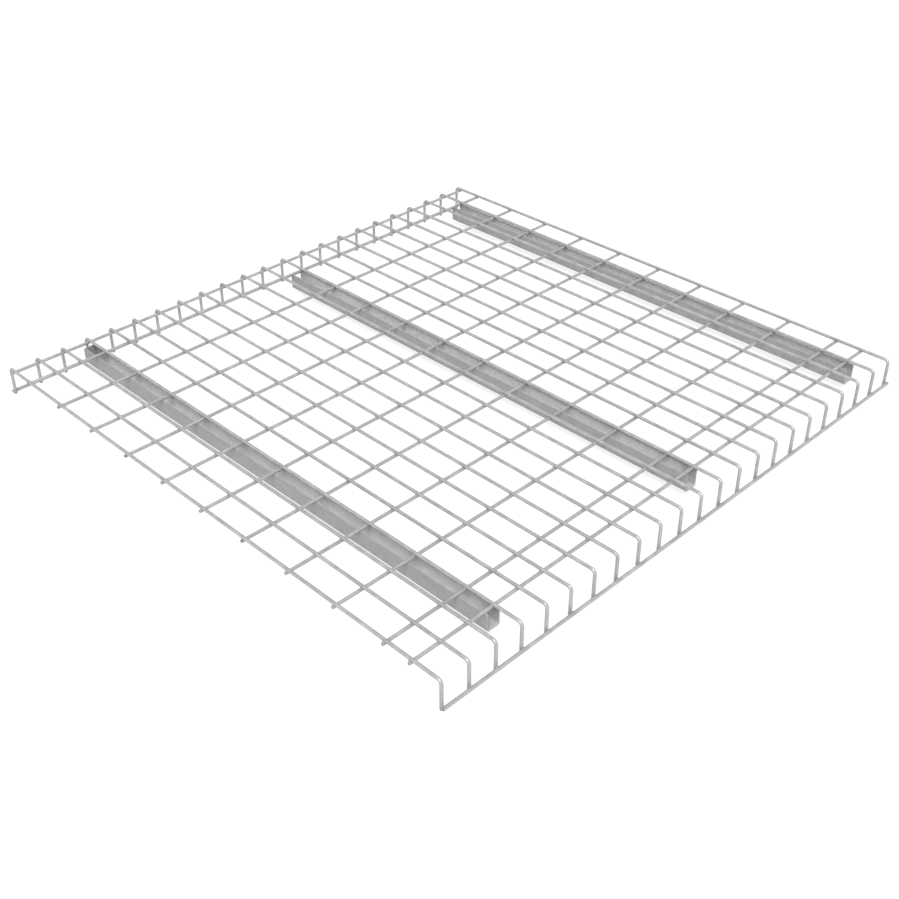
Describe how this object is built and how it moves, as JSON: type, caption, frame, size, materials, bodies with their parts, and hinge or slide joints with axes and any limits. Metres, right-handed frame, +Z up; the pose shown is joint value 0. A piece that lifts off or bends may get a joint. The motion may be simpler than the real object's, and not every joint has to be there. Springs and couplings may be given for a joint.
{
  "type": "wire mesh rack deck",
  "caption": "Welded wire mesh deck panel for a storage rack bay, bent down at front and back over the beams, with folded support channels underneath.",
  "frame": {"origin": "middle of the deck's footprint, on the level of the lowest wire ends", "axes": "+X runs left to right along the front edge, +Y from the front edge to the back edge, +Z up through the deck"},
  "size_m": [1.111, 1.0836, 0.0537],
  "materials": {
    "wire_zinc": "satin zinc-coated drawn wire",
    "channel_zinc": "matte zinc-coated folded sheet"
  },
  "bodies": {
    "root": {"line_wire_01": "wire_zinc", "line_wire_02": "wire_zinc", "line_wire_03": "wire_zinc", "line_wire_04": "wire_zinc", "line_wire_05": "wire_zinc", "line_wire_06": "wire_zinc", "line_wire_07": "wire_zinc", "line_wire_08": "wire_zinc", "line_wire_09": "wire_zinc", "line_wire_10": "wire_zinc", "line_wire_11": "wire_zinc", "line_wire_12": "wire_zinc", "line_wire_13": "wire_zinc", "line_wire_14": "wire_zinc", "line_wire_15": "wire_zinc", "line_wire_16": "wire_zinc", "line_wire_17": "wire_zinc", "line_wire_18": "wire_zinc", "line_wire_19": "wire_zinc", "line_wire_20": "wire_zinc", "line_wire_21": "wire_zinc", "line_wire_22": "wire_zinc", "line_wire_23": "wire_zinc", "cross_wire_01": "wire_zinc", "cross_wire_02": "wire_zinc", "cross_wire_03": "wire_zinc", "cross_wire_04": "wire_zinc", "cross_wire_05": "wire_zinc", "cross_wire_06": "wire_zinc", "cross_wire_07": "wire_zinc", "cross_wire_08": "wire_zinc", "cross_wire_09": "wire_zinc", "cross_wire_10": "wire_zinc", "cross_wire_11": "wire_zinc", "cross_wire_12": "wire_zinc", "front_rail_wire": "wire_zinc", "back_rail_wire": "wire_zinc", "support_channel_left": "channel_zinc", "support_channel_centre": "channel_zinc", "support_channel_right": "channel_zinc", "channel_end_plate": "channel_zinc"}
  },
  "joints": []
}
